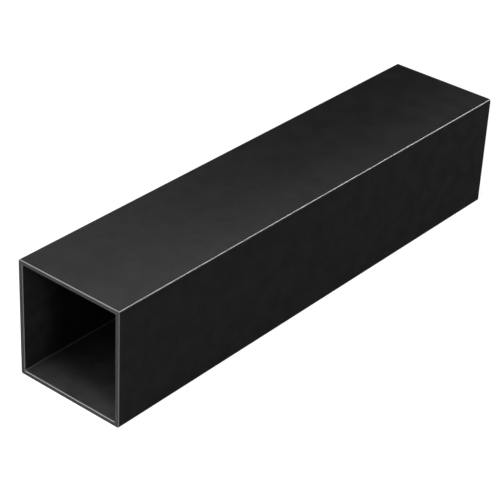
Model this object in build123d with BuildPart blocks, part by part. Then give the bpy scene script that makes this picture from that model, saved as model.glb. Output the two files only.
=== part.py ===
from build123d import *

import os

# Square hollow section: one straight length, sawn square and open at both ends.
# The origin is the middle of the underside, +Z is up and the tube lies along Y.

# Driving dimensions, in millimetres
side = 50.0  # outside width and height of the section
wall = 2.0  # thickness of each of the four walls
length = 230.0  # from sawn end to sawn end
outer_corner_radius = 1.0  # the tight corner that a drawn section has
inner_corner_radius = 0.3  # left by the corner of the mandrel
outer_deburr = 0.25  # chamfer filed on the outer edge of each end
inner_deburr = 0.3  # chamfer reamed on the edge of each mouth

bore = side - 2 * wall

with BuildPart() as square_tube:
    # The section stands on the ground plane and is drawn out both ways from the middle.
    with BuildSketch(Plane.XZ):
        with Locations((0, side / 2)):
            RectangleRounded(side, side, outer_corner_radius)
            RectangleRounded(bore, bore, inner_corner_radius, mode=Mode.SUBTRACT)
    extrude(amount=length / 2, both=True)

    # Each sawn end is a flat ring. The saw leaves a burr on its two outlines, so both are chamfered.
    sawn_ends = square_tube.faces().filter_by(Axis.Y)
    chamfer([end.outer_wire().edges() for end in sawn_ends], outer_deburr)
    sawn_ends = square_tube.faces().filter_by(Axis.Y)
    chamfer([mouth.edges() for end in sawn_ends for mouth in end.inner_wires()], inner_deburr)

os.makedirs("parts", exist_ok=True)

square_tube.part.label = "square_tube"
export_step(square_tube.part, "parts/square_tube.step")
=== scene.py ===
# %% [markdown]
# # A length of square metal tube
#
# The real thing is a short piece of drawn square tube, sawn to length, with its edges deburred and a
# matte black coat over all of it. The solid model already has its true form, tight corners and open
# ends, so nothing here moves or reshapes it. What is left to do is everything that the eye needs to
# believe in it: the coat, the rubbed edges, the saw's marks, the light and the camera.
#
# The first step loads that solid. It could be modelled again in Blender, but then the two could
# disagree, so it is used as it is.

# %% Load the tube
import math

import bpy
from mathutils import Matrix, Vector


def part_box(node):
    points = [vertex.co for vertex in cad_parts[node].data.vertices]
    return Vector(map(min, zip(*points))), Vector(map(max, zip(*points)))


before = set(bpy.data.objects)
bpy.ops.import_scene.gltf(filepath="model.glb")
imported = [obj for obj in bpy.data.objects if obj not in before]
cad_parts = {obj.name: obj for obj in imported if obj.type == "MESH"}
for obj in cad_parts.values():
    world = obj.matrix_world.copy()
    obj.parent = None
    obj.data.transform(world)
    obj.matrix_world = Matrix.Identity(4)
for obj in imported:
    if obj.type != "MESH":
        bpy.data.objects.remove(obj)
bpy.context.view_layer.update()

MM = 0.001
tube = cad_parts["square_tube"]
low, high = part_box("square_tube")
side = high.x - low.x
length = high.y - low.y
middle = (low + high) / 2
print(f"tube: {side / MM:.1f} mm square and {length / MM:.1f} mm long")

# %% [markdown]
# ## Sizes that the finish needs
#
# Paint wears at edges and a saw marks only the sawn ends, so the finish has to know where those are.
# It could find them from the mesh, by curvature, but a flat wall of a few large faces gives no curvature
# to read. The tube is a plain form, so its edges are worked out from its own sizes instead. The box gives
# the outside. It can't show the wall, the rounding of the long corners or the small chamfers that
# deburring leaves at the sawn ends, so those four are given.

# %% Sizes in metres
wall = 2.0 * MM
corner_radius = 1.0 * MM
outer_deburr = 0.25 * MM
mouth_deburr = 0.3 * MM
half_side = side / 2
half_bore = half_side - wall
half_length = length / 2
print(f"bore: {2 * half_bore / MM:.1f} mm square")

# %% [markdown]
# ## The camera
#
# The camera looks down on the tube from its front right corner, with one open end nearest. It is about
# 0.7 m away with a long lens, so the far end comes out only about a fifth smaller than the near one. A
# short lens close by would fit the tube in the picture too, but it would stretch the near end.
#
# The camera could be aimed with a Track To constraint, but that leaves no say over its slight roll. So
# its place and three angles are given, and the three directions that they make are set as its rotation.
# The focal length is counted in pixels of a picture 500 pixels wide, and turned into Blender's own.

# %% Work out the camera's directions
CAMERA_PLACE = Vector((0.3779, -0.4865, 0.3885))
CAMERA_TURN = math.radians(-38.64)
CAMERA_DIP = math.radians(31.34)
CAMERA_ROLL = math.radians(2.92)
STRAIGHT_UP = Vector((0, 0, 1))

ahead = Vector((
    math.sin(CAMERA_TURN) * math.cos(CAMERA_DIP),
    math.cos(CAMERA_TURN) * math.cos(CAMERA_DIP),
    -math.sin(CAMERA_DIP),
))
right = ahead.cross(STRAIGHT_UP).normalized()
up = right.cross(ahead)
rolled_right = right * math.cos(CAMERA_ROLL) + up * math.sin(CAMERA_ROLL)
rolled_up = up * math.cos(CAMERA_ROLL) - right * math.sin(CAMERA_ROLL)
print(f"camera looks along {ahead.x:.2f}, {ahead.y:.2f}, {ahead.z:.2f}")

# %% Place the camera
PICTURE_PIXELS = 500
FOCAL_PIXELS = 1785.3
NEAREST_DRAWN = 0.01

camera_data = bpy.data.cameras.new("camera")
camera_data.lens = camera_data.sensor_width * FOCAL_PIXELS / PICTURE_PIXELS
camera_data.clip_start = NEAREST_DRAWN
camera = bpy.data.objects.new("camera", camera_data)
bpy.context.scene.collection.objects.link(camera)
camera_axes = Matrix((rolled_right, rolled_up, -ahead)).transposed()
camera.matrix_world = Matrix.Translation(CAMERA_PLACE) @ camera_axes.to_4x4()
bpy.context.scene.camera = camera
print(f"camera: {camera_data.lens:.1f} mm lens, {(CAMERA_PLACE - middle).length:.2f} m from the tube")

# %% [markdown]
# ## Tools for nodes
#
# A finish is a network of small steps, and writing each link by hand soon hides what it does. A few short
# helpers keep it readable. The first two add a node and feed its inputs. A value that is a number or a
# colour is set on the input, and a value that comes out of another node is linked to it.

# %% Add and feed nodes
def feed(tree, socket, value):
    """Link the input to a socket, or set it to a plain value."""
    if isinstance(value, bpy.types.NodeSocket):
        tree.links.new(value, socket)
    else:
        socket.default_value = value


def add_node(tree, kind, inputs=None, **settings):
    """Add a node, set its options, and feed the inputs that are named or numbered."""
    node = tree.nodes.new(kind)
    for name, value in settings.items():
        setattr(node, name, value)
    for key, value in (inputs or {}).items():
        feed(tree, node.inputs[key], value)
    return node


print("helpers: feed, add_node")

# %% [markdown]
# Most steps are a sum, a mix of two values, or a smooth change from one value to another, so each of
# these gets a helper. Blender's Mix node holds a separate set of inputs for every kind of value, all
# called A and B. They can only be told apart by their places in the node's list.

# %% Sums, mixes and ramps
NUMBER_A = 2
NUMBER_B = 3
NUMBER_RESULT = 0
COLOUR_A = 6
COLOUR_B = 7
COLOUR_RESULT = 2


def calculate(tree, operation, *values):
    """One Math node, such as ADD or MAXIMUM, and its result."""
    numbered = dict(enumerate(values))
    return add_node(tree, "ShaderNodeMath", numbered, operation=operation).outputs[0]


def blend_colour(tree, share, first, second):
    """Mix two colours by a share from 0 to 1."""
    node = add_node(tree, "ShaderNodeMix", data_type="RGBA")
    feed(tree, node.inputs["Factor"], share)
    feed(tree, node.inputs[COLOUR_A], first)
    feed(tree, node.inputs[COLOUR_B], second)
    return node.outputs[COLOUR_RESULT]


def blend_number(tree, share, first, second):
    """Mix two numbers by a share from 0 to 1."""
    node = add_node(tree, "ShaderNodeMix", data_type="FLOAT")
    feed(tree, node.inputs["Factor"], share)
    feed(tree, node.inputs[NUMBER_A], first)
    feed(tree, node.inputs[NUMBER_B], second)
    return node.outputs[NUMBER_RESULT]


def ramp(tree, value, start, end, low_value=0.0, high_value=1.0):
    """Turn start..end smoothly into low_value..high_value, and hold it beyond them."""
    numbered = dict(enumerate((value, start, end, low_value, high_value)))
    return add_node(tree, "ShaderNodeMapRange", numbered, interpolation_type="SMOOTHSTEP").outputs[0]


print("helpers: calculate, blend_colour, blend_number, ramp")

# %% [markdown]
# A node group is a small network with named inputs and outputs of its own. It is built once and can then
# be placed wherever it is needed, each time with other values. The noise that the groups rest on gets a
# helper as well, which takes the size of its lumps in metres instead of Blender's scale.

# %% Groups and noise
NUMBER = "NodeSocketFloat"
VECTOR = "NodeSocketVector"


def new_group(name, inputs, outputs):
    """Open a group with named sockets. Returns it, what it is given and what it results in."""
    group = bpy.data.node_groups.new(name, "ShaderNodeTree")
    for socket_name, kind, start_value in inputs:
        socket = group.interface.new_socket(socket_name, in_out="INPUT", socket_type=kind)
        if start_value is not None:
            socket.default_value = start_value
    for socket_name, kind in outputs:
        group.interface.new_socket(socket_name, in_out="OUTPUT", socket_type=kind)
    given = group.nodes.new("NodeGroupInput").outputs
    result = group.nodes.new("NodeGroupOutput").inputs
    return group, given, result


def place_group(tree, group, inputs):
    """Place a finished group in a material, with values of its own, and return what it puts out."""
    return add_node(tree, "ShaderNodeGroup", inputs, node_tree=group).outputs


def noise(tree, position, size, detail, roughness):
    """Noise from 0 to 1 with lumps of about this size in metres."""
    scale = calculate(tree, "DIVIDE", 1.0, size)
    inputs = {"Vector": position, "Scale": scale, "Detail": detail, "Roughness": roughness}
    return add_node(tree, "ShaderNodeTexNoise", inputs).outputs["Fac"]


print("helpers: new_group, place_group, noise")

# %% [markdown]
# ## Where the edges are
#
# Every point of the tube has three depths: how far it lies inside the outline across, upwards and along.
# On an outside wall one of the three is nought, and the others are its distances to that wall's edges. The
# mouths and the inner corners of the bore are measured in the same way, from the bore's outline.
#
# An edge that is rounded or chamfered never reaches the sharp corner that the depths are taken from. The
# middle of a rounding lies inside that corner by 0.29 of its radius, and the middle of a chamfer by half
# its leg. Each distance is lessened by that, so the middle of every edge comes out near nought.

# %% Open the group of distances
ROUNDING_CUT = 1 - math.sqrt(0.5)
CHAMFER_CUT = 0.5

tube_edges, given, result = new_group(
    "tube edges",
    [
        ("Position", VECTOR, None),
        ("Middle Height", NUMBER, middle.z),
        ("Half Side", NUMBER, half_side),
        ("Half Bore", NUMBER, half_bore),
        ("Half Length", NUMBER, half_length),
        ("Corner Cut", NUMBER, corner_radius * ROUNDING_CUT),
        ("Outer Cut", NUMBER, outer_deburr * CHAMFER_CUT),
        ("Mouth Cut", NUMBER, mouth_deburr * CHAMFER_CUT),
    ],
    [
        ("Long Edge", NUMBER),
        ("End Edge", NUMBER),
        ("Mouth Edge", NUMBER),
        ("Bore Corner", NUMBER),
        ("End Depth", NUMBER),
        ("Inside", NUMBER),
    ],
)
place = add_node(tube_edges, "ShaderNodeSeparateXYZ", {0: given["Position"]}).outputs
across = calculate(tube_edges, "ABSOLUTE", place["X"])
along = calculate(tube_edges, "ABSOLUTE", place["Y"])
height = calculate(tube_edges, "SUBTRACT", place["Z"], given["Middle Height"])
upward = calculate(tube_edges, "ABSOLUTE", height)
print("group:", tube_edges.name)

# %% [markdown]
# A point is on a long edge when its depths across and upwards are both small, so the larger of the two is
# its distance. It is on the outline of a sawn end when the smaller of those two and the depth along are
# both small.

# %% Outside edges
depth_across = calculate(tube_edges, "SUBTRACT", given["Half Side"], across)
depth_up = calculate(tube_edges, "SUBTRACT", given["Half Side"], upward)
depth_along = calculate(tube_edges, "SUBTRACT", given["Half Length"], along)
smaller = calculate(tube_edges, "MINIMUM", depth_across, depth_up)
larger = calculate(tube_edges, "MAXIMUM", depth_across, depth_up)
long_edge = calculate(tube_edges, "SUBTRACT", larger, given["Corner Cut"])
end_corner = calculate(tube_edges, "MAXIMUM", smaller, depth_along)
end_edge = calculate(tube_edges, "SUBTRACT", end_corner, given["Outer Cut"])
feed(tube_edges, result["Long Edge"], long_edge)
feed(tube_edges, result["End Edge"], end_edge)
feed(tube_edges, result["End Depth"], depth_along)
print("distances outside: long edge, end edge, end depth")

# %% [markdown]
# The bore is told from the outside by how far a point lies beyond the bore's outline. That is nought in
# the bore and a whole wall's thickness outside, and the change between them falls inside the wall, where
# only the sawn ends show it.

# %% Edges of the bore
BORE_UP_TO = 0.4 * MM
OUTSIDE_FROM = 1.2 * MM

reach = calculate(tube_edges, "MAXIMUM", across, upward)
from_bore = calculate(tube_edges, "SUBTRACT", reach, given["Half Bore"])
beside_mouth = calculate(tube_edges, "ABSOLUTE", from_bore)
mouth_corner = calculate(tube_edges, "MAXIMUM", depth_along, beside_mouth)
mouth_edge = calculate(tube_edges, "SUBTRACT", mouth_corner, given["Mouth Cut"])
to_next_wall = calculate(tube_edges, "MINIMUM", across, upward)
bore_corner = calculate(tube_edges, "SUBTRACT", given["Half Bore"], to_next_wall)
inside = ramp(tube_edges, from_bore, BORE_UP_TO, OUTSIDE_FROM, 1.0, 0.0)
feed(tube_edges, result["Mouth Edge"], mouth_edge)
feed(tube_edges, result["Bore Corner"], bore_corner)
feed(tube_edges, result["Inside"], inside)
print("distances inside: mouth edge, bore corner, and the mask of the bore")

# %% [markdown]
# ## Cloudy coat
#
# A sprayed or dipped matte black is never one even black. It dries in soft clouds a few millimetres
# across, with a finer grain inside them. One noise texture alone looks like a stain, so a broad noise and
# a fine one are added, the fine one with less weight. Noise stays near its middle value, so its middle
# part is stretched to run from 0 to 1. The group puts out one number, which the material then uses both
# for the colour and for how dull the coat is.

# %% Group: clouds in the coat
NOISE_MIDDLE = 0.5
CLOUD_LOW = 0.3
CLOUD_HIGH = 0.7

coat_clouds, given, result = new_group(
    "coat clouds",
    [
        ("Position", VECTOR, None),
        ("Cloud Size", NUMBER, 8 * MM),
        ("Grain Size", NUMBER, 1.5 * MM),
        ("Grain Share", NUMBER, 0.3),
    ],
    [("Cloud", NUMBER)],
)
broad = noise(coat_clouds, given["Position"], given["Cloud Size"], 3.0, 0.55)
grain = noise(coat_clouds, given["Position"], given["Grain Size"], 2.0, 0.6)
grain_off_centre = calculate(coat_clouds, "SUBTRACT", grain, NOISE_MIDDLE)
weighted_grain = calculate(coat_clouds, "MULTIPLY", grain_off_centre, given["Grain Share"])
both = calculate(coat_clouds, "ADD", broad, weighted_grain)
feed(coat_clouds, result["Cloud"], ramp(coat_clouds, both, CLOUD_LOW, CLOUD_HIGH))
print("group:", coat_clouds.name)

# %% [markdown]
# ## Rubbed edges
#
# Wherever stock is handled, stacked and slid, its corners lose their coat first and the metal below
# starts to shine. A plain band along the edge would look like tape, so a noise makes the band wander a
# little and thins it in places. The group turns a distance into a mask from 0 to 1: bare metal on the
# rubbed edges, and further on also the painted highlight along the inner corners of the bore. The inner
# half of the band is full, and the rest fades out.

# %% Group: edge bands for rubbed metal and a painted highlight
SOLID_BAND_SHARE = 0.5

wear_and_highlight_band, given, result = new_group(
    "wear and highlight band",
    [
        ("Position", VECTOR, None),
        ("Distance", NUMBER, None),
        ("Width", NUMBER, 0.2 * MM),
        ("Wander", NUMBER, 0.05 * MM),
        ("Wander Size", NUMBER, 4 * MM),
    ],
    [("Edge Band", NUMBER)],
)
wander_noise = noise(wear_and_highlight_band, given["Position"], given["Wander Size"], 4.0, 0.6)
noise_off_centre = calculate(wear_and_highlight_band, "SUBTRACT", wander_noise, NOISE_MIDDLE)
drift = calculate(wear_and_highlight_band, "MULTIPLY", noise_off_centre, given["Wander"])
distance = calculate(wear_and_highlight_band, "ADD", given["Distance"], drift)
fade_start = calculate(wear_and_highlight_band, "MULTIPLY", given["Width"], SOLID_BAND_SHARE)
# This band is bare metal on the rubbed edges, and the painted highlight in the bore's corners.
band_mask = ramp(wear_and_highlight_band, distance, fade_start, given["Width"], 1.0, 0.0)
feed(wear_and_highlight_band, result["Edge Band"], band_mask)
print("group:", wear_and_highlight_band.name)

# %% [markdown]
# ## Saw marks
#
# A band saw leaves fine parallel lines across a cut, a little uneven and all one way. A wave texture
# gives parallel bands, and its distortion makes them uneven. The position is turned first, so that the
# lines cross the thin ring of the cut at a slant. At scale 1 the bands are a twentieth of 2 pi apart, so
# that gap divided by the wanted spacing is the scale.

# %% Group: saw marks
BAND_GAP = math.tau / 20

saw_marks, given, result = new_group(
    "saw marks",
    [
        ("Position", VECTOR, None),
        ("Spacing", NUMBER, 1 * MM),
        ("Slant", VECTOR, None),
    ],
    [("Marks", NUMBER)],
)
turned = add_node(
    saw_marks, "ShaderNodeVectorRotate",
    {"Vector": given["Position"], "Rotation": given["Slant"]},
    rotation_type="EULER_XYZ",
).outputs[0]
wave_scale = calculate(saw_marks, "DIVIDE", BAND_GAP, given["Spacing"])
bands = add_node(
    saw_marks, "ShaderNodeTexWave",
    {"Vector": turned, "Scale": wave_scale, "Distortion": 1.5, "Detail": 2.0, "Detail Scale": 1.5},
    bands_direction="X",
).outputs["Fac"]
feed(saw_marks, result["Marks"], bands)
print("group:", saw_marks.name)

# %% [markdown]
# ## The black coat
#
# One material covers the tube, because the real one is coated in one go, and the groups above tell it
# where each finish belongs. Separate materials on the outside, the bore and the ends would be simpler,
# but they would meet in hard lines.
#
# The solid brings a plain material of its own called black_coat. Blender never gives one name to two
# materials, so the plain one is renamed first, and the finished coat can have the name.

# %% Start the material
plain_coat = tube.material_slots[0].material
plain_coat.name = "plain coat"
black_coat = bpy.data.materials.new("black_coat")
black_coat.use_nodes = True
coat_tree = black_coat.node_tree
shader = coat_tree.nodes["Principled BSDF"]
position = add_node(coat_tree, "ShaderNodeTexCoord").outputs["Object"]
edges = place_group(coat_tree, tube_edges, {"Position": position})
cloud = place_group(coat_tree, coat_clouds, {"Position": position})["Cloud"]
print("material:", black_coat.name)

# %% [markdown]
# The outside and the bore share the same clouds. Each runs between a darker and a lighter black, a little
# further apart in the bore, and the bore's blacks are darker than the outside's, as painted shade in the
# hollow. Along the four inner corners a thin paler line runs the length of the bore, where two walls meet
# in a tight rounding: that line is a painted highlight.

# %% Colour of the outside, and of the bore with painted shade and a painted highlight
COAT_DARK = (0.0242, 0.0242, 0.0239, 1)
COAT_LIGHT = (0.0283, 0.0283, 0.028, 1)
# The bore's two blacks are darker than the outside's: painted shade in the hollow of the bore.
SHADED_BORE_DARK = (0.019, 0.019, 0.0187, 1)
SHADED_BORE_LIGHT = (0.027, 0.027, 0.0266, 1)
# A pale line along the four inner corners of the bore: a painted highlight.
BORE_CORNER_HIGHLIGHT = (0.11, 0.11, 0.108, 1)
CORNER_HIGHLIGHT_WIDTH = 0.4 * MM
CORNER_HIGHLIGHT_WANDER = 0.1 * MM

outside_colour = blend_colour(coat_tree, cloud, COAT_DARK, COAT_LIGHT)
# Mask of the painted highlight along the bore's inner corners.
painted_corner_highlight = place_group(
    coat_tree, wear_and_highlight_band,
    {
        "Position": position,
        "Distance": edges["Bore Corner"],
        "Width": CORNER_HIGHLIGHT_WIDTH,
        "Wander": CORNER_HIGHLIGHT_WANDER,
    },
)["Edge Band"]
# Clouds of the bore between the darker blacks of the painted shade.
shaded_bore_cloud = blend_colour(coat_tree, cloud, SHADED_BORE_DARK, SHADED_BORE_LIGHT)
bore_shade_and_highlight = blend_colour(coat_tree, painted_corner_highlight, shaded_bore_cloud, BORE_CORNER_HIGHLIGHT)
# In the bore the colour is the painted shade, with the painted corner highlight on it.
colour = blend_colour(coat_tree, edges["Inside"], outside_colour, bore_shade_and_highlight)
print("colours: outside and bore")

# %% [markdown]
# The coat is thinner on the sawn ends, so they are a dark grey instead of black, and the saw's marks show
# through as faint darker lines. This finish fades out about a tenth of a millimetre from the cut.

# %% Colour of the sawn ends
SAWN_END = (0.090, 0.089, 0.087, 1)
MARK_SPACING = 1.0 * MM
MARK_SLANT = math.radians(35)
MARK_SHARE = 0.25
CUT_UP_TO = 0.02 * MM
CUT_GONE_FROM = 0.12 * MM

marks = place_group(
    coat_tree, saw_marks,
    {"Position": position, "Spacing": MARK_SPACING, "Slant": (0, MARK_SLANT, 0)},
)["Marks"]
on_end = ramp(coat_tree, edges["End Depth"], CUT_UP_TO, CUT_GONE_FROM, 1.0, 0.0)
faint_marks = calculate(coat_tree, "MULTIPLY", marks, MARK_SHARE)
end_colour = blend_colour(coat_tree, faint_marks, SAWN_END, COAT_DARK)
colour = blend_colour(coat_tree, on_end, colour, end_colour)
print("colours: sawn ends")

# %% [markdown]
# The rubbed edges go on last, over everything else. The long edges are rubbed most, because a tube is
# slid along them, so their band is wider and the metal brighter. The outline and the mouth of each sawn
# end stay darker. Rubbed metal is the only metallic part: the rest is paint.

# %% Colour of the rubbed edges
RUBBED_END = (0.120, 0.121, 0.116, 1)
RUBBED_LENGTH = (0.31, 0.31, 0.307, 1)
END_BAND = 0.16 * MM
LENGTH_BAND = 0.22 * MM
BAND_WANDER = 0.05 * MM

rubbed = 0.0
for edge, band, metal in (
    ("End Edge", END_BAND, RUBBED_END),
    ("Mouth Edge", END_BAND, RUBBED_END),
    ("Long Edge", LENGTH_BAND, RUBBED_LENGTH),
):
    rub = place_group(
        coat_tree, wear_and_highlight_band,
        {"Position": position, "Distance": edges[edge], "Width": band, "Wander": BAND_WANDER},
    )["Edge Band"]
    rubbed = calculate(coat_tree, "MAXIMUM", rubbed, rub)
    colour = blend_colour(coat_tree, rub, colour, metal)
    print(f"rubbed: {edge}, band {band / MM:.2f} mm")
feed(coat_tree, shader.inputs["Base Color"], colour)
feed(coat_tree, shader.inputs["Metallic"], rubbed)

# %% [markdown]
# A matte coat still has a very weak and soft gloss, a little duller where its clouds are darker. Rubbing
# polishes the metal, so the edges are smoother. The strength of the coat's gloss is the same everywhere,
# so it is a plain value on the shader.

# %% Gloss
DULLEST_COAT = 0.62
LEAST_DULL_COAT = 0.54
POLISH_BY_RUBBING = 0.38
COAT_GLOSS = 0.01

dullness = ramp(coat_tree, cloud, 0.0, 1.0, DULLEST_COAT, LEAST_DULL_COAT)
polish = calculate(coat_tree, "MULTIPLY", rubbed, POLISH_BY_RUBBING)
roughness = calculate(coat_tree, "SUBTRACT", dullness, polish)
feed(coat_tree, shader.inputs["Roughness"], roughness)
shader.inputs["Specular IOR Level"].default_value = COAT_GLOSS
print(f"roughness: coat {LEAST_DULL_COAT} to {DULLEST_COAT}, {POLISH_BY_RUBBING} less where rubbed")

# %% [markdown]
# Paint dries with a shallow, lumpy skin, and the saw's marks are shallow grooves. Both are a few
# thousandths of a millimetre deep, far too fine for the mesh, so a Bump node bends the shading only.

# %% Relief
PEEL_SIZE = 0.9 * MM
MARK_RELIEF = 1.5
RELIEF_DEPTH = 0.004 * MM
RELIEF_STRENGTH = 0.4

peel = add_node(
    coat_tree, "ShaderNodeTexNoise",
    {"Vector": position, "Scale": 1 / PEEL_SIZE, "Detail": 2.0, "Roughness": 0.5},
).outputs["Fac"]
marks_on_end = calculate(coat_tree, "MULTIPLY", marks, on_end)
mark_relief = calculate(coat_tree, "MULTIPLY", marks_on_end, MARK_RELIEF)
relief = calculate(coat_tree, "ADD", peel, mark_relief)
bump = add_node(
    coat_tree, "ShaderNodeBump",
    {"Strength": RELIEF_STRENGTH, "Distance": RELIEF_DEPTH, "Height": relief},
)
feed(coat_tree, shader.inputs["Normal"], bump.outputs[0])
print(f"relief: {RELIEF_DEPTH / MM:.3f} mm deep")

# %% [markdown]
# The finished coat goes into every material slot of the tube, so no face is left without it.

# %% Put the coat on the tube
for slot in tube.material_slots:
    slot.material = black_coat
print(f"{black_coat.name}: {len(tube.material_slots)} slot, {len(tube.data.polygons)} faces")

# %% [markdown]
# ## Floor and surroundings
#
# The tube lies on plain pale paper that reaches far past the view on every side. Lamps alone would have
# to be very strong to make it pure white, and then the tube would be too bright. So what the camera and
# mirror rays see of the paper is mostly a plain glow just short of white. The lamps add the rest, and
# where the tube keeps them off, the paper shows its shadow. The rays that carry light from the paper back
# to the tube meet no glow, only a grey paper.

# %% Tell seen rays from light
def seen_rays(tree):
    """1 for camera, mirror and see-through rays, and 0 for the rays that carry light to a surface."""
    path = add_node(tree, "ShaderNodeLightPath").outputs
    mirror = calculate(tree, "MAXIMUM", path["Is Glossy Ray"], path["Is Transmission Ray"])
    return calculate(tree, "MAXIMUM", path["Is Camera Ray"], mirror)


print("helper: seen_rays")

# %% Shape of the floor
FLOOR_REACH = 12.0

floor_mesh = bpy.data.meshes.new("floor")
floor_corners = [
    (-FLOOR_REACH, -FLOOR_REACH, low.z),
    (FLOOR_REACH, -FLOOR_REACH, low.z),
    (FLOOR_REACH, FLOOR_REACH, low.z),
    (-FLOOR_REACH, FLOOR_REACH, low.z),
]
floor_mesh.from_pydata(floor_corners, [], [(0, 1, 2, 3)])
floor = bpy.data.objects.new("floor", floor_mesh)
bpy.context.scene.collection.objects.link(floor)
print(f"floor: {2 * FLOOR_REACH:.0f} m square")

# %% White paper
WHITE = (1, 1, 1, 1)
PAPER = (0.15, 0.15, 0.15, 1)
PAPER_AS_SEEN = (0.2, 0.2, 0.2, 1)
PAPER_GLOW = 0.93
PAPER_ROUGHNESS = 0.9

paper = bpy.data.materials.new("white paper")
paper.use_nodes = True
paper_tree = paper.node_tree
paper_shader = paper_tree.nodes["Principled BSDF"]
seen = seen_rays(paper_tree)
paper_colour = blend_colour(paper_tree, seen, PAPER, PAPER_AS_SEEN)
paper_glow = calculate(paper_tree, "MULTIPLY", seen, PAPER_GLOW)
feed(paper_tree, paper_shader.inputs["Base Color"], paper_colour)
feed(paper_tree, paper_shader.inputs["Emission Strength"], paper_glow)
paper_shader.inputs["Emission Color"].default_value = WHITE
paper_shader.inputs["Roughness"].default_value = PAPER_ROUGHNESS
paper_shader.inputs["Specular IOR Level"].default_value = 0.0
floor_mesh.materials.append(paper)
print("material:", paper.name)

# %% [markdown]
# The sky is done in the same way. What is seen of it is nearly white at the horizon, where it meets the
# paper, and grey overhead, as in a studio cove, so that bare metal has something to mirror. Its light on
# the tube is set apart from that, and it is weak.

# %% Sky
SKY_LIGHT = 0.05
SKY_HORIZON = 0.95
SKY_OVERHEAD = 0.2
HORIZON_UP_TO = 0.05
OVERHEAD_FROM = 0.5

sky = bpy.data.worlds.new("studio cove")
sky.use_nodes = True
sky_tree = sky.node_tree
background = sky_tree.nodes["Background"]
background.inputs["Color"].default_value = WHITE
direction = add_node(sky_tree, "ShaderNodeTexCoord").outputs["Generated"]
rise = add_node(sky_tree, "ShaderNodeSeparateXYZ", {0: direction}).outputs["Z"]
sky_as_seen = ramp(sky_tree, rise, HORIZON_UP_TO, OVERHEAD_FROM, SKY_HORIZON, SKY_OVERHEAD)
sky_level = blend_number(sky_tree, seen_rays(sky_tree), SKY_LIGHT, sky_as_seen)
feed(sky_tree, background.inputs["Strength"], sky_level)
bpy.context.scene.world = sky
print("world:", sky.name)

# %% [markdown]
# ## Lights
#
# Every lamp is an area lamp, a flat glowing panel, because its soft light suits a matte coat. It could be
# placed by hand and given a power in watts, but then its brightness would change with every move. Here it
# gets a point to aim at, the direction from there to the lamp, a distance and a level, and the power
# follows from those. A surface that faces a lamp of level 1 shows its colour about as it is written, and
# for a panel that shines all ways, that takes (pi x distance) squared watts.
#
# A narrow spread gathers the power into a beam, so the lamp needs only a share of it. Such a lamp is
# dazzling to look into, and a rubbed edge would mirror it as glare. So narrow lamps are kept out of
# mirror rays, and wide ones are left in.

# %% One lamp
ALL_WAYS = 180
ALONG_TUBE = Vector((0, 1, 0))


def soft_box(name, aim, toward, distance, width, reach, level, spread=ALL_WAYS):
    """A lamp of width by reach metres, with its reach along the tube as far as its aim allows."""
    data = bpy.data.lights.new(name, "AREA")
    data.shape = "RECTANGLE"
    data.size = width
    data.size_y = reach
    data.spread = math.radians(spread)
    half_spread = data.spread / 2
    gathered = 1.0 if spread >= ALL_WAYS else 1 - half_spread / math.tan(half_spread)
    data.energy = level * (math.pi * distance) ** 2 * gathered
    face = Vector(toward).normalized()
    sideways = ALONG_TUBE.cross(face).normalized()
    axes = Matrix((sideways, face.cross(sideways), face)).transposed()
    light = bpy.data.objects.new(name, data)
    light.matrix_world = Matrix.Translation(Vector(aim) + face * distance) @ axes.to_4x4()
    light.visible_camera = False
    light.visible_glossy = spread >= ALL_WAYS
    bpy.context.scene.collection.objects.link(light)
    print(f"lamp: {name}, {data.energy:.3f} W")


print("helper: soft_box")

# %% [markdown]
# ### Two broad soft boxes
#
# The first stands in front, to the left and above, and gives the top and the sawn end an even light. The
# second is weaker and stands to the right, where it can reach through the mouth onto the floor of the
# bore.

# %% Broad soft boxes
FRONT_MOUTH = (0, -0.115, 0.025)

soft_box(
    "front soft box", FRONT_MOUTH, toward=(-0.48, -0.55, 0.68),
    distance=0.9, width=0.6, reach=0.6, level=0.46,
)
soft_box(
    "mouth fill", FRONT_MOUTH, toward=(0.25, -0.70, 0.67),
    distance=0.9, width=0.6, reach=0.6, level=0.17,
)

# %% [markdown]
# ### Three narrow lamps
#
# The mouth lamp hangs above the space just before the mouth, so it brightens the near end of the top and
# fades along it. The corner strip is a thin beam from above onto the right side of the top. The right
# strip is aimed a little above the right wall, so it lights the upper part of that wall a touch more than
# the lower part, and it reaches through the mouth to the left wall of the bore.

# %% Narrow lamps
BEFORE_MOUTH = (0, -0.175, 0.05)
BESIDE_TOP = (0.030, 0.05, 0.05)
ABOVE_RIGHT_WALL = (0.025, 0, 0.062)

soft_box(
    "mouth lamp", BEFORE_MOUTH, toward=(-0.05, -0.15, 1),
    distance=0.43, width=0.05, reach=0.24, level=2.35, spread=35,
)
soft_box(
    "corner strip", BESIDE_TOP, toward=(0, -0.20, 1),
    distance=0.45, width=0.02, reach=0.40, level=5.4, spread=9,
)
soft_box(
    "right strip", ABOVE_RIGHT_WALL, toward=(0.93, -0.25, 0.27),
    distance=0.9, width=0.06, reach=0.7, level=1.6, spread=14,
)

# %% [markdown]
# ### Two strips behind
#
# The rear strip is weak, but the long top corner mirrors it to the camera as one thin bright line. It has
# to be long, or the line would fade at one end. The back strip hangs at the tube's own height and is less
# tall than the tube. So all that it lights of the tube is the left wall, the rear end and a little of the
# bore, and the tube can be read from behind too.

# %% Strips behind
TUBE_MIDDLE = (0, 0, 0.025)
REAR_HALF = (0, 0.05, 0.025)

soft_box(
    "rear strip", TUBE_MIDDLE, toward=(0.45, 0.667, 0.60),
    distance=0.9, width=0.07, reach=0.7, level=0.14,
)
soft_box(
    "back strip", REAR_HALF, toward=(-0.75, 0.66, 0),
    distance=0.9, width=0.04, reach=0.7, level=0.5, spread=170,
)

# %% [markdown]
# ## Colours as written
#
# Blender's usual view softens bright colours, which would turn the white paper grey. The Standard view
# shows each colour as it is.

# %% View
view = bpy.context.scene.view_settings
view.view_transform = "Standard"
print("view:", view.view_transform)
